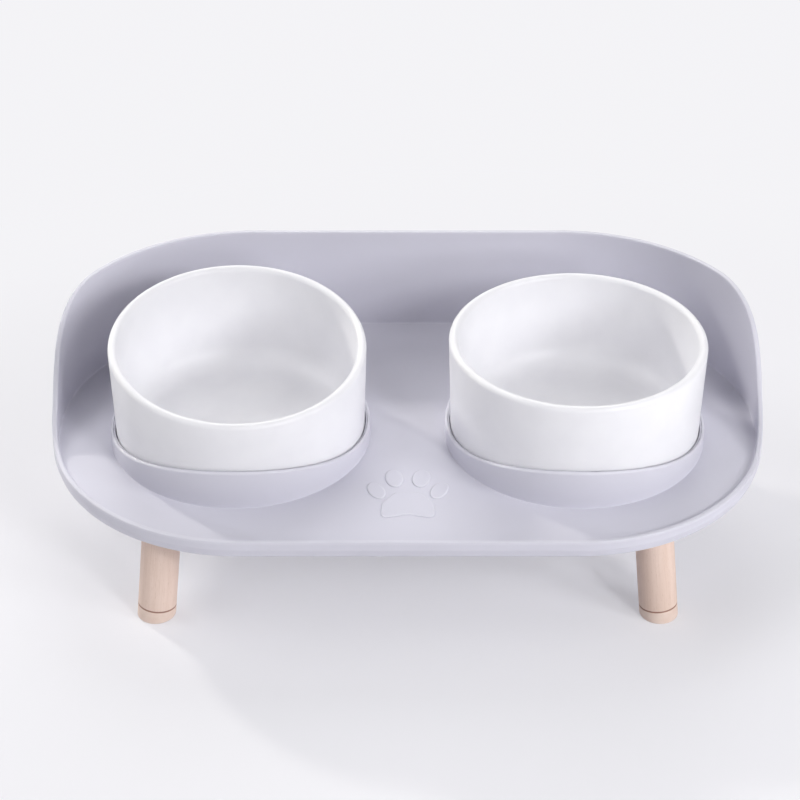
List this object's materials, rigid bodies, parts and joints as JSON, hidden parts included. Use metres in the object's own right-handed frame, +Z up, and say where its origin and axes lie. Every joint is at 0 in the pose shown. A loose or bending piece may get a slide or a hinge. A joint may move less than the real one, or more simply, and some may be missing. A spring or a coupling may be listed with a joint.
{
  "type": "double pet bowl",
  "caption": "Raised double pet bowl: an oblique food bowl and a level water bowl lift out of a tray with a splash guard, on splayed wooden legs.",
  "frame": {"origin": "on the ground under the middle of the tray", "axes": "+Z up, +X to the right along the tray's width, +Y to the back, where the splash guard stands"},
  "size_m": [0.385, 0.218, 0.1319],
  "materials": {
    "tray_plastic": "fine satin, pale lavender grey",
    "glaze": "smooth white glaze, soft gloss",
    "beech": "pale wood, clear matt lacquer",
    "foot_cap": "matt, in the colour of the legs",
    "brass": "turned",
    "steel": "zinc plated"
  },
  "bodies": {
    "tray": {"tray": "tray_plastic", "insert_front_left": "brass", "insert_front_right": "brass", "insert_back_left": "brass", "insert_back_right": "brass"},
    "food_bowl": {"food_bowl": "glaze"},
    "water_bowl": {"water_bowl": "glaze"},
    "leg_front_left": {"leg_front_left": "beech", "stud_front_left": "steel", "foot_front_left": "foot_cap"},
    "leg_front_right": {"leg_front_right": "beech", "stud_front_right": "steel", "foot_front_right": "foot_cap"},
    "leg_back_left": {"leg_back_left": "beech", "stud_back_left": "steel", "foot_back_left": "foot_cap"},
    "leg_back_right": {"leg_back_right": "beech", "stud_back_right": "steel", "foot_back_right": "foot_cap"}
  },
  "joints": [
    {"name": "food_bowl_lift", "type": "slide", "parent": "tray", "child": "food_bowl", "axis": [0, 0, 1], "range_m": [0, 0.08]},
    {"name": "water_bowl_lift", "type": "slide", "parent": "tray", "child": "water_bowl", "axis": [0, 0, 1], "range_m": [0, 0.08]},
    {"name": "leg_front_left_turn", "type": "hinge", "parent": "tray", "child": "leg_front_left", "pos_m": [-0.1282, -0.0763, 0.056], "axis": [-0.1, -0.0839, -0.9914], "continuous": true},
    {"name": "leg_front_right_turn", "type": "hinge", "parent": "tray", "child": "leg_front_right", "pos_m": [0.1282, -0.0763, 0.056], "axis": [0.1, -0.0839, -0.9914], "continuous": true},
    {"name": "leg_back_left_turn", "type": "hinge", "parent": "tray", "child": "leg_back_left", "pos_m": [-0.1282, 0.0763, 0.056], "axis": [-0.1, 0.0839, -0.9914], "continuous": true},
    {"name": "leg_back_right_turn", "type": "hinge", "parent": "tray", "child": "leg_back_right", "pos_m": [0.1282, 0.0763, 0.056], "axis": [0.1, 0.0839, -0.9914], "continuous": true}
  ]
}
